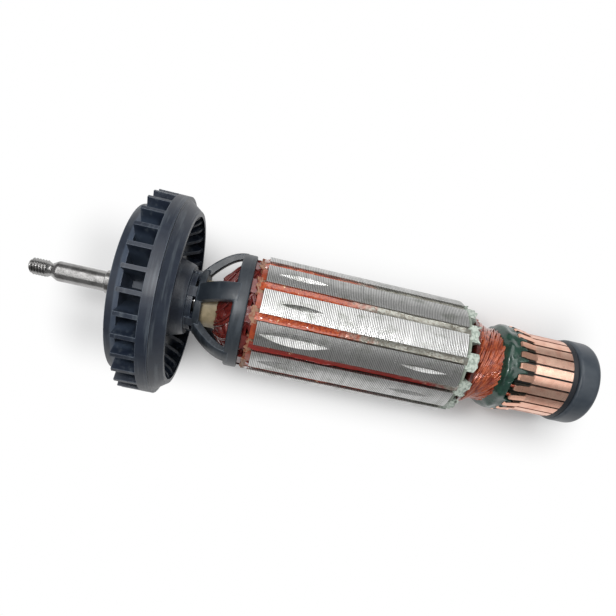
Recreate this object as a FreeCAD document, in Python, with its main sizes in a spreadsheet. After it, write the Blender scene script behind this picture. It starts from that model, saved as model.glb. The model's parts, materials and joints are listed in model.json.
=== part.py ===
"""Armature of a universal motor: fan, cage, wound core, commutator and rear bearing.

Everything is first built about the shaft, which lies along X. X is counted from the tip of
the drive thread towards the commutator. The finished parts are then turned together into
the pose in which an armature lies on a bench: on the fan's ring and the bearing's boot.
Angles about the shaft are counted from the top (+Z), by the right-hand rule about +X.
"""
import FreeCAD, Part
import math
import os
import re
import Sketcher

# Driving dimensions, in millimetres unless the note says otherwise.
SIZES = {
    # Shaft
    "thread_diameter": 5.0,            # M5 at the drive end
    "thread_length": 5.2,
    "tip_chamfer": 0.5,
    "relief_diameter": 3.4,            # small end of the thread run-out
    "relief_length": 1.4,
    "journal_diameter": 6.0,           # seat of the drive pinion
    "journal_length": 15.4,
    "journal_nose_diameter": 4.2,
    "journal_nose_length": 1.6,
    "front_seat_diameter": 7.0,        # seat of the drive end bearing
    "front_seat_length": 7.7,
    "fan_seat_diameter": 8.0,
    "core_seat_diameter": 10.0,
    "rear_seat_diameter": 8.0,         # seat of the rear ball bearing
    "shaft_end_chamfer": 0.4,
    "centre_hole_diameter": 2.5,
    "centre_hole_depth": 2.2,
    # Fan
    "fan_length": 17.2,                # front of the plate to the back of the hub
    "fan_plate_thickness": 3.3,
    "fan_plate_front_radius": 24.7,
    "fan_plate_radius": 25.7,
    "fan_plate_wall": 1.7,
    "fan_plate_rim": 2.4,
    "fan_boss_radius": 9.0,
    "fan_tip_radius": 29.65,
    "fan_outlet_width": 6.2,
    "fan_ring_width": 3.1,
    "fan_ring_step": 1.1,
    "fan_shroud_length": 3.4,
    "fan_inlet_radius": 26.1,          # outside of the inlet rim
    "fan_shroud_wall": 1.3,
    "fan_hub_root_radius": 14.6,
    "fan_hub_inlet_radius": 11.0,
    "fan_hub_end_radius": 10.5,
    "blade_count": 31,
    "blade_thickness": 1.2,
    "blade_root_radius": 15.5,
    "blade_angle": 5.16,               # degrees, blade nearest the top
    "dog_count": 6,
    "dog_width": 3.0,
    "dog_length": 2.9,
    "dog_inner_radius": 6.4,
    "dog_outer_radius": 9.2,
    "dog_clearance": 0.15,
    "collar_radius": 8.9,              # low collar between the dogs
    "collar_gap": 0.9,
    "collar_bore_gap": 0.05,
    # Cage between fan and windings
    "cage_groove": 2.5,                # gap between the two hubs
    "cage_hub_radius": 10.0,
    "cage_hub_length": 2.0,
    "cage_window_length": 8.9,
    "cage_ring_radius": 17.3,
    "cage_ring_length": 4.0,
    "cage_wall": 2.0,
    "cage_rib_count": 5,
    "cage_rib_width": 5.4,
    "cage_angle": -14.0,               # degrees, rib nearest the top
    # Insulating tube between shaft and core
    "sleeve_radius": 7.1,
    "sleeve_front_gap": 1.0,           # from the cage's front face to the tube
    # Laminated core
    "core_gap": 16.6,                  # from the cage's hub to the core
    "core_radius": 18.0,
    "core_length": 60.5,
    "slot_count": 12,
    "slot_angle": 4.44,                # degrees, slot nearest the top
    "slot_opening": 2.4,
    "slot_lip": 0.9,
    "slot_shoulder": 0.55,
    "slot_bottom_radius": 9.4,
    "tooth_width": 3.2,
    "end_plate_thickness": 1.5,
    "end_plate_radius": 16.9,
    "liner_thickness": 0.3,
    "liner_front": 2.5,                # what stands out of the core at the fan end
    "liner_rear": 3.5,
    "paper_gap": 0.05,                 # between core, liner, wedge and coil
    "wedge_drop": 0.6,                 # from the core's surface down to the wedge
    # Balance cuts, milled along the teeth by a V-edged cutter
    "cutter_radius": 30.0,
    "cutter_flank": 50.0,              # degrees from the cutter's middle plane
    "cutter_depth": 4.0,               # depth of the V edge
    # Windings
    "front_head_length": 9.7,
    "front_head_nose_radius": 8.2,
    "front_head_radius": 15.2,
    "head_gap": 0.1,
    "rear_head_radius": 15.7,
    "rear_head_shoulder": 2.4,         # length of the round edge beside the core
    "lead_count": 24,
    "lead_diameter": 1.1,
    "lead_lean": 32.0,                 # degrees that a lead wire turns on its way
    "lead_start_radius": 14.3,
    "lead_end_radius": 10.3,
    "lead_gap": 0.2,                   # between a lead wire and the winding under it
    # Commutator
    "commutator_gap": 16.5,            # from the core to the moulding
    "moulding_front": 2.8,             # what stands in front of the bars
    "moulding_chamfer": 1.6,
    "bar_count": 24,
    "bar_angle": -5.35,                # degrees, bar nearest the top
    "bar_radius": 12.75,
    "bar_length": 18.0,
    "bar_height": 2.2,
    "bar_foot": 1.8,
    "bar_slit": 0.6,
    "slit_depth": 0.9,
    "hook_width": 1.9,
    "hook_length": 5.4,
    "hook_height": 1.1,
    "hook_tip_height": 0.35,
    "hook_wall": 0.45,
    "hook_root": 0.4,                  # depth to which a hook is rooted in its bar
    "bush_wall": 1.5,
    "resin_radius": 13.6,
    "resin_front_radius": 10.9,
    "resin_taper": 2.6,
    "resin_length": 5.0,
    "resin_gap": 0.05,
    # Rear bearing, 8 x 22 x 7
    "spacer_length": 1.6,
    "spacer_radius": 13.1,
    "spacer_edge": 0.3,
    "bearing_bore_step": 0.3,          # shaft shoulder that keeps the spacer off the bearing
    "bearing_diameter": 22.0,
    "bearing_width": 7.0,
    "bearing_edge": 0.4,
    "inner_ring_radius": 6.05,
    "outer_ring_wall": 2.05,
    "ball_diameter": 3.97,
    "ball_play": 0.05,
    "shield_thickness": 0.35,
    "shield_inset": 0.3,
    "shield_clearance": 0.3,
    "boot_wall": 2.5,
    "boot_lip": 0.3,
    "boot_lip_overlap": 1.6,
    "boot_edge": 1.3,
}

document = FreeCAD.newDocument("motor_armature")
sheet = document.addObject("Spreadsheet::Sheet", "dims")
for row, (alias, size) in enumerate(SIZES.items(), start=1):
    sheet.set(f"A{row}", alias)
    sheet.set(f"B{row}", str(size))
    sheet.setAlias(f"B{row}", alias)
document.recompute()

# Stations along the shaft and radii that follow from the sizes
relief_start = "(thread_length)"
journal_start = f"({relief_start} + relief_length)"
front_seat_start = f"({journal_start} + journal_length)"
fan_start = f"({front_seat_start} + front_seat_length)"
outlet_start = f"({fan_start} + fan_plate_thickness)"
ring_start = f"({outlet_start} + fan_outlet_width)"
ring_end = f"({ring_start} + fan_ring_width)"
inlet_end = f"({ring_end} + fan_shroud_length)"
fan_end = f"({fan_start} + fan_length)"
cage_start = f"({fan_end} + cage_groove)"
sleeve_start = f"({cage_start} + sleeve_front_gap)"
cage_hub_end = f"({cage_start} + cage_hub_length)"
window_end = f"({cage_hub_end} + cage_window_length)"
cage_end = f"({window_end} + cage_ring_length)"
core_start = f"({cage_hub_end} + core_gap)"
core_end = f"({core_start} + core_length)"
front_head_end = f"({core_start} - liner_front - head_gap)"
front_head_start = f"({front_head_end} - front_head_length)"
rear_head_start = f"({core_end} + liner_rear + head_gap)"
lead_start = f"({rear_head_start} + rear_head_shoulder + lead_diameter / 2)"
moulding_start = f"({core_end} + commutator_gap)"
bar_start = f"({moulding_start} + moulding_front)"
bar_end = f"({bar_start} + bar_length)"
spacer_end = f"({bar_end} + spacer_length)"
bearing_start = f"({spacer_end} + bearing_bore_step)"
bearing_end = f"({bearing_start} + bearing_width)"
boot_end = f"({bearing_end} + boot_lip)"
resin_end = f"({bar_start})"
resin_start = f"({resin_end} - resin_length)"
rear_head_end = f"({resin_start} - resin_gap)"
lead_end = f"({rear_head_end} - lead_diameter / 2)"
bearing_radius = "(bearing_diameter / 2)"
boot_radius = f"({bearing_radius} + boot_wall)"
outer_ring_bore = f"({bearing_radius} - outer_ring_wall)"
pitch_radius = f"((inner_ring_radius + {outer_ring_bore}) / 2)"
slot_half_angle = "(180 / slot_count)"
shoulder_radius = "(core_radius - slot_lip - slot_shoulder)"

X_AXIS = FreeCAD.Vector(1, 0, 0)
Y_AXIS = FreeCAD.Vector(0, 1, 0)
# Features drawn on the +Y side of a sketch lie a quarter turn before the top.
SKETCH_SIDE = -90.0

nodes = {}


def cell(text):
    """Expression text with every size name pointed at the spreadsheet."""
    names = r"\b[a-z][a-z0-9_]*\b"
    return re.sub(names, lambda m: f"dims.{m.group(0)}" if m.group(0) in SIZES else m.group(0), text)


def value(text):
    """Number that an expression on the sizes has now."""
    return float(sheet.evalExpression(cell(text)))


def origin_feature(body, role):
    return next(item for item in body.Origin.OriginFeatures if item.Role == role)


def new_body(name):
    body = document.addObject("PartDesign::Body", name)
    body.Label = name
    return body


def attach(sketch, body, plane, offset=None, turn=None):
    """Put a sketch on one of its body's origin planes, moved along and turned about its normal."""
    sketch.AttachmentSupport = [(origin_feature(body, plane), "")]
    sketch.MapMode = "FlatFace"
    if offset is not None:
        sketch.setExpression("AttachmentOffset.Base.z", cell(offset))
    if turn is not None:
        sketch.setExpression("AttachmentOffset.Rotation.Angle", cell(turn))


def pin_point(sketch, geometry, point, corner, prefix):
    """Tie a point of the sketch to the sizes, along both axes."""
    for kind, axis, text in (("DistanceX", -2, corner[0]), ("DistanceY", -1, corner[1])):
        if text == "0":
            sketch.addConstraint(Sketcher.Constraint("PointOnObject", geometry, point, axis))
            continue
        constraint = Sketcher.Constraint(kind, -1, 1, geometry, point, value(text))
        index = sketch.addConstraint(constraint)
        sketch.renameConstraint(index, f"{prefix}_{kind[-1].lower()}")
        sketch.setExpression(f"Constraints.{prefix}_{kind[-1].lower()}", cell(text))


def outline(body, name, plane, corners, offset=None, turn=None):
    """Closed outline of straight lines through corners given as pairs of expressions."""
    sketch = body.newObject("Sketcher::SketchObject", name)
    attach(sketch, body, plane, offset, turn)
    points = [FreeCAD.Vector(value(a), value(b), 0) for a, b in corners]
    count = len(points)
    for index in range(count):
        sketch.addGeometry(Part.LineSegment(points[index], points[(index + 1) % count]), False)
    for index in range(count):
        following = (index + 1) % count
        sketch.addConstraint(Sketcher.Constraint("Coincident", index, 2, following, 1))
    for index, corner in enumerate(corners):
        pin_point(sketch, index, 1, corner, f"corner{index}")
    return sketch


def revolve(body, name, corners, angle=None, cut=False):
    """Turn an outline in X and radius about the shaft, all round or over an angle."""
    sketch = outline(body, f"{name}_outline", "XY_Plane", corners)
    kind = "PartDesign::Groove" if cut else "PartDesign::Revolution"
    feature = body.newObject(kind, name)
    feature.Profile = sketch
    feature.ReferenceAxis = (sketch, ["H_Axis"])
    feature.Angle = 360.0
    if angle is not None:
        feature.Midplane = True
        feature.setExpression("Angle", cell(angle))
    return feature


def extrude(body, name, corners, length, start=None, cut=False, turn=None):
    """Pad or pocket an outline seen along the shaft, from its start towards +X."""
    sketch = outline(body, f"{name}_outline", "YZ_Plane", corners, start, turn)
    kind = "PartDesign::Pocket" if cut else "PartDesign::Pad"
    feature = body.newObject(kind, name)
    feature.Profile = sketch
    feature.setExpression("Length", cell(length))
    feature.Reversed = cut
    return feature


def plate(body, name, corners, thickness):
    """Pad an outline in X and radius to both sides of the plane through the shaft."""
    feature = body.newObject("PartDesign::Pad", name)
    feature.Profile = outline(body, f"{name}_outline", "XY_Plane", corners)
    feature.SideType = "Symmetric"
    feature.setExpression("Length", cell(thickness))
    return feature


def repeat(body, name, features, count):
    """Repeat features evenly about the shaft."""
    pattern = body.newObject("PartDesign::PolarPattern", name)
    pattern.Originals = features
    pattern.Axis = (origin_feature(body, "X_Axis"), [""])
    pattern.Angle = 360.0
    pattern.setExpression("Occurrences", cell(count))
    body.Tip = pattern
    return pattern


def about_shaft(degrees):
    return FreeCAD.Rotation(X_AXIS, degrees)


def keep(name, item, turn=0.0):
    """Take an object as a finished part, turned about the shaft by an angle in degrees."""
    nodes[name] = (item, turn)


def make_shaft():
    body = new_body("shaft")
    thread = "thread_diameter / 2"
    journal = "journal_diameter / 2"
    front = "front_seat_diameter / 2"
    fan = "fan_seat_diameter / 2"
    core = "core_seat_diameter / 2"
    rear = "rear_seat_diameter / 2"
    shaft_end = f"{bearing_end} - bearing_bore_step"
    revolve(body, "shaft_turned", [
        ("0", "0"),
        ("0", f"{thread} - tip_chamfer"),
        ("tip_chamfer", thread),
        (relief_start, thread),
        (journal_start, "relief_diameter / 2"),
        (journal_start, "journal_nose_diameter / 2"),
        (f"{journal_start} + journal_nose_length", journal),
        (front_seat_start, journal),
        (front_seat_start, front),
        (fan_start, front),
        (fan_start, fan),
        (fan_end, fan),
        (fan_end, core),
        (bearing_start, core),
        (bearing_start, rear),
        (f"{shaft_end} - shaft_end_chamfer", rear),
        (shaft_end, f"{rear} - shaft_end_chamfer"),
        (shaft_end, "centre_hole_diameter / 2"),
        (f"{shaft_end} - centre_hole_depth", "0"),
    ])
    keep("shaft", body)


def make_fan():
    body = new_body("fan")
    bore = "fan_seat_diameter / 2"
    recess = "(fan_plate_thickness - fan_plate_wall)"
    revolve(body, "fan_plate", [
        (fan_start, bore),
        (fan_start, "fan_boss_radius"),
        (f"{fan_start} + {recess}", "fan_boss_radius + 0.6"),
        (f"{fan_start} + {recess}", "fan_plate_front_radius - fan_plate_rim - 0.6"),
        (fan_start, "fan_plate_front_radius - fan_plate_rim"),
        (fan_start, "fan_plate_front_radius"),
        (outlet_start, "fan_plate_radius"),
        (outlet_start, "fan_hub_root_radius"),
        (inlet_end, "fan_hub_inlet_radius"),
        (fan_end, "fan_hub_end_radius"),
        (fan_end, bore),
    ])
    inner = "fan_shroud_wall"
    revolve(body, "fan_shroud", [
        (ring_start, f"fan_tip_radius - {inner}"),
        (ring_start, "fan_tip_radius"),
        (ring_end, "fan_tip_radius"),
        (ring_end, "fan_tip_radius - fan_ring_step"),
        (inlet_end, "fan_inlet_radius"),
        (inlet_end, f"fan_inlet_radius - {inner}"),
        (ring_end, f"fan_tip_radius - fan_ring_step - {inner}"),
    ])
    root = f"{outlet_start} - fan_plate_wall / 2"
    blade = plate(body, "fan_blade", [
        (root, "blade_root_radius"),
        (root, "fan_plate_radius - 1"),
        (outlet_start, "fan_plate_radius - 1"),
        (outlet_start, "fan_tip_radius"),
        (f"{ring_start} + 0.2", "fan_tip_radius"),
        (f"{ring_start} + 0.2", f"fan_tip_radius - {inner} / 4"),
        (f"{inlet_end} - 0.4", f"fan_inlet_radius - {inner} * 0.4"),
        (f"{inlet_end} - 1.6", f"fan_inlet_radius - {inner} - 1"),
    ], "blade_thickness")
    repeat(body, "fan_blades", [blade], "blade_count")
    dog = extrude(body, "fan_dog", [
        ("dog_inner_radius", "-dog_width / 2"),
        ("dog_outer_radius", "-dog_width / 2"),
        ("dog_outer_radius", "dog_width / 2"),
        ("dog_inner_radius", "dog_width / 2"),
    ], "dog_length + 0.5", start=f"{fan_end} - 0.5", turn="cage_angle - blade_angle")
    repeat(body, "fan_dogs", [dog], "dog_count")
    collar_bore = "(core_seat_diameter / 2 + collar_bore_gap)"
    revolve(body, "fan_collar", [
        (f"{fan_end} - 0.5", collar_bore),
        (f"{fan_end} - 0.5", "collar_radius"),
        (f"{cage_start} - collar_gap", "collar_radius"),
        (f"{cage_start} - collar_gap", collar_bore),
    ])
    keep("fan", body, value("blade_angle") - SKETCH_SIDE)


def make_fan_cage():
    body = new_body("fan_cage")
    shaft = "core_seat_diameter / 2"
    inner_ring = "cage_ring_radius - cage_wall"
    shoulder = f"({cage_hub_end} + cage_window_length * 0.4)"
    shoulder_height = "(cage_hub_radius * 0.45 + cage_ring_radius * 0.55)"
    revolve(body, "cage_dome", [
        (cage_start, shaft),
        (cage_start, "cage_hub_radius"),
        (cage_hub_end, "cage_hub_radius + 2"),
        (shoulder, f"{shoulder_height} + cage_wall / 2"),
        (window_end, "cage_ring_radius"),
        (cage_end, "cage_ring_radius"),
        (cage_end, inner_ring),
        (window_end, inner_ring),
        (shoulder, f"{shoulder_height} - cage_wall / 2"),
        (cage_hub_end, "cage_hub_radius - 1.2"),
        (cage_hub_end, "sleeve_radius"),
        (sleeve_start, "sleeve_radius"),
        (sleeve_start, shaft),
    ])
    half = "(180 / cage_rib_count)"
    inner = f"(cage_rib_width / 2 / sin{half})"
    outer = f"({inner} + cage_ring_radius * 2 * cos{half})"
    spread = f"(cage_ring_radius * 2 * sin{half})"
    window = extrude(body, "cage_window", [
        (inner, "0"),
        (outer, spread),
        (outer, f"-{spread}"),
    ], "cage_window_length", start=cage_hub_end, cut=True, turn=half)
    repeat(body, "cage_windows", [window], "cage_rib_count")
    side = "(dog_width / 2 + dog_clearance)"
    notch = extrude(body, "cage_notch", [
        ("dog_inner_radius - dog_clearance", f"-{side}"),
        ("dog_outer_radius + dog_clearance", f"-{side}"),
        ("dog_outer_radius + dog_clearance", side),
        ("dog_inner_radius - dog_clearance", side),
    ], "dog_length - cage_groove + dog_clearance", start=cage_start, cut=True)
    repeat(body, "cage_notches", [notch], "dog_count")
    keep("fan_cage", body, value("cage_angle") - SKETCH_SIDE)


def slot_half_width(radius, gap="0"):
    """Half width of a slot, between teeth of even width, at a height above the shaft."""
    return (f"({radius} * tan{slot_half_angle}"
            f" - (tooth_width / 2 + {gap}) / cos{slot_half_angle})")


def slot_corners():
    """Outline of a slot seen along the shaft: narrow mouth, shoulders and tapered sides."""
    mouth = "slot_opening / 2"
    wide = slot_half_width(shoulder_radius)
    narrow = slot_half_width("slot_bottom_radius")
    half = [
        ("core_radius + 1", mouth),
        ("core_radius - slot_lip", mouth),
        (shoulder_radius, wide),
        ("slot_bottom_radius", narrow),
    ]
    other = [(height, f"-{width}") for height, width in reversed(half)]
    return half + other


def tapered_corners(top, bottom, gap):
    """Outline that follows a slot's sides between two heights, set in by a gap."""
    wide = slot_half_width(top, gap)
    narrow = slot_half_width(bottom, gap)
    return [(top, wide), (bottom, narrow), (bottom, f"-{narrow}"), (top, f"-{wide}")]


def slotted_disc(name, radius, start, end):
    """Disc or stack with a slot pattern, seated on the insulating tube."""
    body = new_body(name)
    revolve(body, f"{name}_blank", [
        (start, "sleeve_radius"),
        (start, radius),
        (end, radius),
        (end, "sleeve_radius"),
    ])
    slot = extrude(body, f"{name}_slot", slot_corners(), f"{end} - {start}", start=start, cut=True)
    repeat(body, f"{name}_slots", [slot], "slot_count")
    return body


# Balance cuts: tooth (0 is the first past the top slot), start and end from the core's front
BALANCE_CUTS = {
    "balance_cut_a": (-2, 3.3, 17.7),
    "balance_cut_b": (-1, 5.2, 17.5),
    "balance_cut_c": (0, 0.8, 21.2),
    "balance_cut_d": (0, 41.9, 56.3),
    "balance_cut_e": (1, 1.7, 19.4),
    "balance_cut_f": (1, 41.0, 54.6),
}


def make_balance_cut(name, tooth, first, last):
    """V-edged cutter plunged into a tooth, deep enough to leave a cut of the given length."""
    cutter = value("cutter_radius")
    depth = (last - first) ** 2 / (8 * cutter)
    centre_height = value("core_radius") - depth + cutter
    pitch = 360 / value("slot_count")
    halves = []
    for side in (1, -1):
        half = document.addObject("Part::Cone", f"{name}_half{len(halves)}")
        half.setExpression("Radius1", cell("cutter_radius"))
        half.setExpression("Radius2", cell("cutter_radius - cutter_depth"))
        half.setExpression("Height", cell("cutter_depth * tan(cutter_flank)"))
        half.Placement = FreeCAD.Placement(
            FreeCAD.Vector(value(core_start) + (first + last) / 2, centre_height, 0),
            FreeCAD.Rotation(X_AXIS, 0 if side > 0 else 180))
        halves.append(half)
    fused = document.addObject("Part::Fuse", name)
    fused.Base = halves[0]
    fused.Tool = halves[1]
    fused.Placement = FreeCAD.Placement(FreeCAD.Vector(), about_shaft((tooth + 0.5) * pitch))
    return fused


def make_core():
    stack = slotted_disc("core_slotted", "core_radius", core_start, core_end)
    cuts = [make_balance_cut(name, *where) for name, where in BALANCE_CUTS.items()]
    tools = document.addObject("Part::MultiFuse", "balance_cuts")
    tools.Shapes = cuts
    core = document.addObject("Part::Cut", "lamination_stack")
    core.Base = stack
    core.Tool = tools
    core.Label = "lamination_stack"
    turn = value("slot_angle") - SKETCH_SIDE
    keep("lamination_stack", core, turn)
    front = slotted_disc("end_insulator_front", "end_plate_radius",
                         f"({core_start} - end_plate_thickness)", core_start)
    keep("end_insulator_front", front, turn)
    rear = slotted_disc("end_insulator_rear", "end_plate_radius",
                        core_end, f"({core_end} + end_plate_thickness)")
    keep("end_insulator_rear", rear, turn)


def make_sleeve():
    body = new_body("shaft_insulation_tube")
    revolve(body, "tube_wall", [
        (sleeve_start, "core_seat_diameter / 2"),
        (sleeve_start, "sleeve_radius"),
        (moulding_start, "sleeve_radius"),
        (moulding_start, "core_seat_diameter / 2"),
    ])
    keep("shaft_insulation_tube", body)


liner_start = f"({core_start} - liner_front)"
liner_length = "(liner_front + core_length + liner_rear)"
liner_top = f"({shoulder_radius} - paper_gap)"
liner_bottom = "(slot_bottom_radius + paper_gap)"
coil_top = f"({liner_top} - liner_thickness - paper_gap)"
coil_bottom = f"({liner_bottom} + liner_thickness + paper_gap)"


def make_slot_liners():
    """Folded paper channel in each slot, closed over the coil and standing out at both ends."""
    for number in range(int(value("slot_count"))):
        name = f"slot_liner_{number + 1:02d}"
        body = new_body(name)
        extrude(body, f"{name}_outside", tapered_corners(liner_top, liner_bottom, "paper_gap"),
                liner_length, start=liner_start)
        inside = tapered_corners(f"({liner_top} - liner_thickness)",
                                 f"({liner_bottom} + liner_thickness)",
                                 "(paper_gap + liner_thickness)")
        extrude(body, f"{name}_inside", inside, liner_length, start=liner_start, cut=True)
        pitch = 360 / value("slot_count")
        keep(name, body, value("slot_angle") - SKETCH_SIDE + number * pitch)


def make_slot_wedge_group():
    strips = []
    top = "core_radius - wedge_drop"
    for number in range(int(value("slot_count"))):
        strip = document.addObject("Part::Box", f"slot_wedge_{number + 1:02d}")
        strip.setExpression("Length", cell("core_length"))
        strip.setExpression("Width", cell("slot_opening - 2 * paper_gap"))
        strip.setExpression("Height", cell(f"{top} - {shoulder_radius} - paper_gap"))
        corner = FreeCAD.Vector(value(core_start), -value("slot_opening / 2 - paper_gap"),
                                value(f"{shoulder_radius} + paper_gap"))
        turn = about_shaft(number * 360 / value("slot_count"))
        strip.Placement = FreeCAD.Placement(turn.multVec(corner), turn)
        strips.append(strip)
    group = document.addObject("Part::Compound", "slot_wedges")
    group.Links = strips
    group.Label = "slot_wedges"
    keep("slot_wedges", group, value("slot_angle"))


def make_front_winding():
    """Domed end winding at the fan and the coil sides that run from it through the slots."""
    body = new_body("coils_front")
    middle = f"({front_head_start} + front_head_length / 2)"
    coil = extrude(body, "coil_side", tapered_corners(coil_top, coil_bottom,
                                                      "(paper_gap * 2 + liner_thickness)"),
                   f"{rear_head_start} - {front_head_end} + 1", start=f"({front_head_end} - 1)")
    repeat(body, "coil_sides", [coil], "slot_count")
    revolve(body, "front_head", [
        (front_head_start, "sleeve_radius + paper_gap"),
        (front_head_start, "front_head_nose_radius - 0.6"),
        (f"{front_head_start} + 0.5", "front_head_nose_radius + 0.5"),
        (middle, "(front_head_nose_radius + front_head_radius) / 2 + 0.6"),
        (f"{front_head_end} - 1", "front_head_radius - 0.4"),
        (front_head_end, "front_head_radius"),
        (front_head_end, "sleeve_radius + paper_gap"),
    ])
    keep("coils_front", body, value("slot_angle") - SKETCH_SIDE)


def lead_height(share):
    """Height above the shaft of a leaning lead wire, at a share of its way."""
    foot = f"lead_start_radius * {1 - share}"
    head = f"lead_end_radius * {share}"
    return f"sqrt(({foot})^2 + ({head})^2 + 2 * ({foot}) * ({head}) * cos(lead_lean * 1 deg))"


def make_rear_winding():
    """End winding at the commutator, drawn in to a waist, and the lead wires lying on it."""
    body = new_body("coils_rear")
    start = f"({rear_head_start} + paper_gap)"
    under = "(lead_diameter * 0.6 + lead_gap)"
    revolve(body, "rear_head", [
        (start, "sleeve_radius + paper_gap"),
        (start, "rear_head_radius"),
        (f"{rear_head_start} + rear_head_shoulder / 2", "rear_head_radius - 0.5"),
        (lead_start, f"{lead_height(0)} - {under}"),
        (f"({lead_start} + {lead_end}) / 2", f"{lead_height(0.5)} - {under}"),
        (lead_end, f"{lead_height(1)} - {under}"),
        (rear_head_end, f"{lead_height(1)} - {under}"),
        (rear_head_end, "sleeve_radius + paper_gap"),
    ])
    keep("coils_rear", body)
    first = FreeCAD.Vector(value(lead_start), 0, value("lead_start_radius"))
    last = FreeCAD.Vector(value(lead_end), 0, value("lead_end_radius"))
    last = about_shaft(value("lead_lean")).multVec(last)
    run = last - first
    leads = []
    for number in range(int(value("lead_count"))):
        turn = about_shaft(number * 360 / value("lead_count"))
        lead = document.addObject("Part::Prism", f"lead_wire_{number + 1:02d}")
        lead.Polygon = 8
        lead.setExpression("Circumradius", cell("lead_diameter / 2"))
        lead.Height = run.Length
        aim = FreeCAD.Rotation(FreeCAD.Vector(0, 0, 1), run)
        lead.Placement = FreeCAD.Placement(turn.multVec(first), turn.multiply(aim))
        leads.append(lead)
    group = document.addObject("Part::Compound", "lead_wires")
    group.Links = leads
    group.Label = "lead_wires"
    keep("lead_wires", group, value("slot_angle"))


bar_under = "(bar_radius - bar_height)"
moulding_radius = "(bar_radius - slit_depth)"
bar_pitch = "(360 / bar_count)"
bar_span = f"({bar_pitch} - 2 * asin(bar_slit / 2 / bar_radius) / 1 deg)"
hook_span = "(2 * asin(hook_width / 2 / bar_radius) / 1 deg)"


def bar_section(top):
    """Outline of a bar along the shaft, with the dovetail foot that the moulding grips."""
    return [
        (bar_start, bar_under),
        (bar_start, top),
        (bar_end, top),
        (bar_end, bar_under),
        (f"{bar_end} - bar_foot * 1.6", bar_under),
        (f"{bar_end} - bar_foot", f"{bar_under} - bar_foot"),
        (f"{bar_start} + bar_foot", f"{bar_under} - bar_foot"),
        (f"{bar_start} + bar_foot * 1.6", bar_under),
    ]


def make_bars():
    """Copper bars, each with a hook folded back over the end of its lead wire."""
    for number in range(int(value("bar_count"))):
        name = f"commutator_bar_{number + 1:02d}"
        body = new_body(name)
        revolve(body, f"{name}_bar", bar_section("bar_radius"), bar_span)
        eye = "(bar_radius + hook_height - hook_wall)"
        revolve(body, f"{name}_hook", [
            (bar_start, "bar_radius - hook_root"),
            (bar_start, "bar_radius + hook_height - hook_root"),
            (f"{bar_start} + hook_root", "bar_radius + hook_height"),
            (f"{bar_start} + hook_length", "bar_radius + hook_tip_height"),
            (f"{bar_start} + hook_length", "bar_radius - hook_root"),
            (f"{bar_start} + hook_length * 0.6", "bar_radius - hook_root"),
            (f"{bar_start} + hook_length * 0.5", eye),
            (f"{bar_start} + hook_wall", eye),
            (f"{bar_start} + hook_wall", "bar_radius - hook_root"),
        ], hook_span)
        pitch = 360 / value("bar_count")
        keep(name, body, value("bar_angle") - SKETCH_SIDE + number * pitch)


def make_commutator_moulding():
    """Moulding that holds the bars and fills the lower part of the slits between them."""
    body = new_body("commutator_moulding")
    bore = "(core_seat_diameter / 2 + bush_wall)"
    revolve(body, "moulding_blank", [
        (moulding_start, bore),
        (moulding_start, f"{moulding_radius} - moulding_chamfer"),
        (bar_start, moulding_radius),
        (bar_end, moulding_radius),
        (bar_end, bore),
    ])
    above = f"{moulding_radius} + 1"
    cut = revolve(body, "moulding_bar_seat", bar_section(above), bar_span, cut=True)
    repeat(body, "moulding_bar_seats", [cut], "bar_count")
    keep("commutator_moulding", body, value("bar_angle") - SKETCH_SIDE)
    bush = new_body("commutator_bush")
    revolve(bush, "bush_wall_ring", [
        (moulding_start, "core_seat_diameter / 2"),
        (moulding_start, bore),
        (bar_end, bore),
        (bar_end, "core_seat_diameter / 2"),
    ])
    keep("commutator_bush", bush)


def make_resin():
    """Dripped resin over the ends of the lead wires, set against the commutator."""
    body = new_body("resin_bead")
    back = f"({resin_end} - resin_gap)"
    revolve(body, "resin_ring", [
        (resin_start, "sleeve_radius + paper_gap"),
        (resin_start, "resin_front_radius"),
        (f"{resin_start} + resin_taper * 0.4", "(resin_front_radius + resin_radius) / 2 + 0.5"),
        (f"{resin_start} + resin_taper", "resin_radius"),
        (back, "resin_radius"),
        (back, f"{moulding_radius} + resin_gap"),
        (f"{moulding_start} - resin_gap", f"{moulding_radius} - moulding_chamfer + resin_gap"),
        (f"{moulding_start} - resin_gap", "sleeve_radius + paper_gap"),
    ])
    keep("resin_bead", body)


def make_spacer():
    body = new_body("insulating_spacer")
    revolve(body, "spacer_ring", [
        (bar_end, "core_seat_diameter / 2"),
        (bar_end, "bar_radius"),
        (f"{spacer_end} - spacer_edge", "spacer_radius"),
        (spacer_end, "spacer_radius - spacer_edge"),
        (spacer_end, "core_seat_diameter / 2"),
    ])
    keep("insulating_spacer", body)


bearing_middle = f"({bearing_start} + bearing_width / 2)"


def ball_circle(radius):
    """Eight-sided outline round the place of a ball's centre, in X and height."""
    corners = []
    for number in range(8):
        turn = f"{22.5 + 45 * number} deg"
        corners.append((f"{bearing_middle} + ({radius}) * cos({turn})",
                        f"{pitch_radius} + ({radius}) * sin({turn})"))
    return corners


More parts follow.
